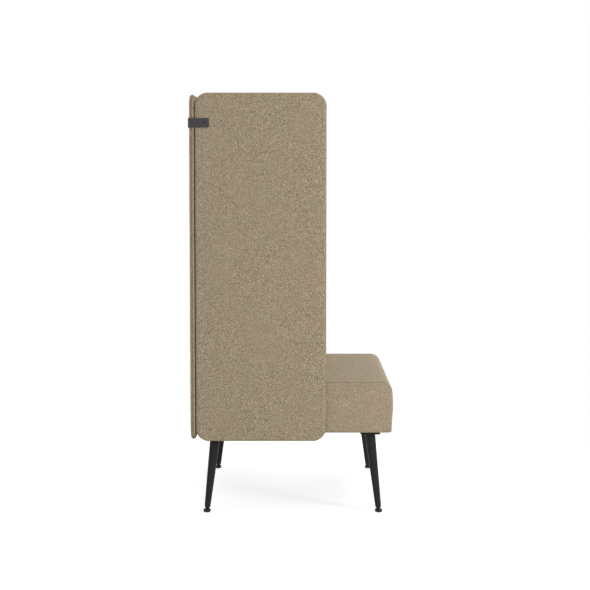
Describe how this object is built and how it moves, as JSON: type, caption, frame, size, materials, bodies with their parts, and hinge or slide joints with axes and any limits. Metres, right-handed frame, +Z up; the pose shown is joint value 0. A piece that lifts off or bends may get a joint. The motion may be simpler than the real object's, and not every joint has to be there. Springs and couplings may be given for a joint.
{
  "type": "high back privacy chair",
  "caption": "Upholstered lounge seat on splayed steel legs with levelling glides, enclosed by a tall padded back screen and two tall padded side screens.",
  "frame": {"origin": "on the floor, in the middle of the chair's width and depth", "axes": "+Z up; the chair faces -Y; +X is the sitter's left, so the sitter's right is -X"},
  "size_m": [0.6802, 0.6667, 1.377],
  "materials": {
    "melange_fabric": "sand-coloured melange wool felt, matt, with a fine light and dark fleck",
    "seat_foam": "cut polyurethane foam",
    "plywood": "raw birch plywood",
    "black_board": "board covered with black dust cloth",
    "grey_coated_steel": "dark grey satin powder coat",
    "black_coated_steel": "black satin powder coat",
    "zinc_plated_steel": "zinc plate",
    "black_nylon": "moulded black nylon"
  },
  "bodies": {
    "chair": {"seat_cover": "melange_fabric", "seat_foam": "seat_foam", "seat_deck": "plywood", "seat_front_rail": "plywood", "seat_rear_rail": "plywood", "seat_right_rail": "plywood", "seat_left_rail": "plywood", "seat_centre_rail": "plywood", "seat_base_board": "black_board", "backrest_cushion": "melange_fabric", "backrest_board": "plywood", "right_screen_core": "plywood", "right_screen_outer_cover": "melange_fabric", "right_screen_inner_cover": "melange_fabric", "left_screen_core": "plywood", "left_screen_outer_cover": "melange_fabric", "left_screen_inner_cover": "melange_fabric", "back_screen_core": "plywood", "back_screen_outer_cover": "melange_fabric", "back_screen_inner_cover": "melange_fabric", "right_corner_clip": "grey_coated_steel", "left_corner_clip": "grey_coated_steel", "right_clip_side_screw": "black_coated_steel", "right_clip_back_screw": "black_coated_steel", "left_clip_side_screw": "black_coated_steel", "left_clip_back_screw": "black_coated_steel", "right_front_bracket": "zinc_plated_steel", "right_rear_bracket": "zinc_plated_steel", "left_front_bracket": "zinc_plated_steel", "left_rear_bracket": "zinc_plated_steel", "back_right_bracket": "zinc_plated_steel", "back_left_bracket": "zinc_plated_steel", "front_right_leg_plate": "black_coated_steel", "front_left_leg_plate": "black_coated_steel", "rear_right_leg_plate": "black_coated_steel", "rear_left_leg_plate": "black_coated_steel", "front_right_leg": "black_coated_steel", "front_left_leg": "black_coated_steel", "rear_right_leg": "black_coated_steel", "rear_left_leg": "black_coated_steel", "front_right_leg_insert": "black_nylon", "front_left_leg_insert": "black_nylon", "rear_right_leg_insert": "black_nylon", "rear_left_leg_insert": "black_nylon"},
    "front_right_ball": {"front_right_glide_ball": "black_nylon"},
    "front_right_stem": {"front_right_glide_stem": "black_coated_steel"},
    "front_right_pad": {"front_right_glide_pad": "black_nylon"},
    "front_left_ball": {"front_left_glide_ball": "black_nylon"},
    "front_left_stem": {"front_left_glide_stem": "black_coated_steel"},
    "front_left_pad": {"front_left_glide_pad": "black_nylon"},
    "rear_right_ball": {"rear_right_glide_ball": "black_nylon"},
    "rear_right_stem": {"rear_right_glide_stem": "black_coated_steel"},
    "rear_right_pad": {"rear_right_glide_pad": "black_nylon"},
    "rear_left_ball": {"rear_left_glide_ball": "black_nylon"},
    "rear_left_stem": {"rear_left_glide_stem": "black_coated_steel"},
    "rear_left_pad": {"rear_left_glide_pad": "black_nylon"}
  },
  "joints": [
    {"name": "front_right_level", "type": "slide", "parent": "chair", "child": "front_right_ball", "axis": [-0.1099, -0.1099, -0.9879], "range_m": [0, 0.012]},
    {"name": "front_right_thread", "type": "hinge", "parent": "front_right_ball", "child": "front_right_stem", "pos_m": [-0.3076, -0.28835, 0.007], "axis": [-0.1099, -0.1099, -0.9879], "range_deg": [0, 3456]},
    {"name": "front_right_tilt", "type": "hinge", "parent": "front_right_ball", "child": "front_right_pad", "pos_m": [-0.3076, -0.28835, 0.007], "axis": [0.7071, -0.7071, 0], "range_deg": [-23.9, 6]},
    {"name": "front_left_level", "type": "slide", "parent": "chair", "child": "front_left_ball", "axis": [0.1099, -0.1099, -0.9879], "range_m": [0, 0.012]},
    {"name": "front_left_thread", "type": "hinge", "parent": "front_left_ball", "child": "front_left_stem", "pos_m": [0.3076, -0.28835, 0.007], "axis": [0.1099, -0.1099, -0.9879], "range_deg": [0, 3456]},
    {"name": "front_left_tilt", "type": "hinge", "parent": "front_left_ball", "child": "front_left_pad", "pos_m": [0.3076, -0.28835, 0.007], "axis": [0.7071, 0.7071, 0], "range_deg": [-23.9, 6]},
    {"name": "rear_right_level", "type": "slide", "parent": "chair", "child": "rear_right_ball", "axis": [-0.1099, 0.1099, -0.9879], "range_m": [0, 0.012]},
    {"name": "rear_right_thread", "type": "hinge", "parent": "rear_right_ball", "child": "rear_right_stem", "pos_m": [-0.3076, 0.27875, 0.007], "axis": [-0.1099, 0.1099, -0.9879], "range_deg": [0, 3456]},
    {"name": "rear_right_tilt", "type": "hinge", "parent": "rear_right_ball", "child": "rear_right_pad", "pos_m": [-0.3076, 0.27875, 0.007], "axis": [-0.7071, -0.7071, 0], "range_deg": [-23.9, 6]},
    {"name": "rear_left_level", "type": "slide", "parent": "chair", "child": "rear_left_ball", "axis": [0.1099, 0.1099, -0.9879], "range_m": [0, 0.012]},
    {"name": "rear_left_thread", "type": "hinge", "parent": "rear_left_ball", "child": "rear_left_stem", "pos_m": [0.3076, 0.27875, 0.007], "axis": [0.1099, 0.1099, -0.9879], "range_deg": [0, 3456]},
    {"name": "rear_left_tilt", "type": "hinge", "parent": "rear_left_ball", "child": "rear_left_pad", "pos_m": [0.3076, 0.27875, 0.007], "axis": [-0.7071, 0.7071, 0], "range_deg": [-23.9, 6]}
  ],
  "couplings": [
    {"joint": "front_right_thread", "follows": "front_right_level", "rad_per_m": 5026.5},
    {"joint": "front_left_thread", "follows": "front_left_level", "rad_per_m": 5026.5},
    {"joint": "rear_right_thread", "follows": "rear_right_level", "rad_per_m": 5026.5},
    {"joint": "rear_left_thread", "follows": "rear_left_level", "rad_per_m": 5026.5}
  ]
}
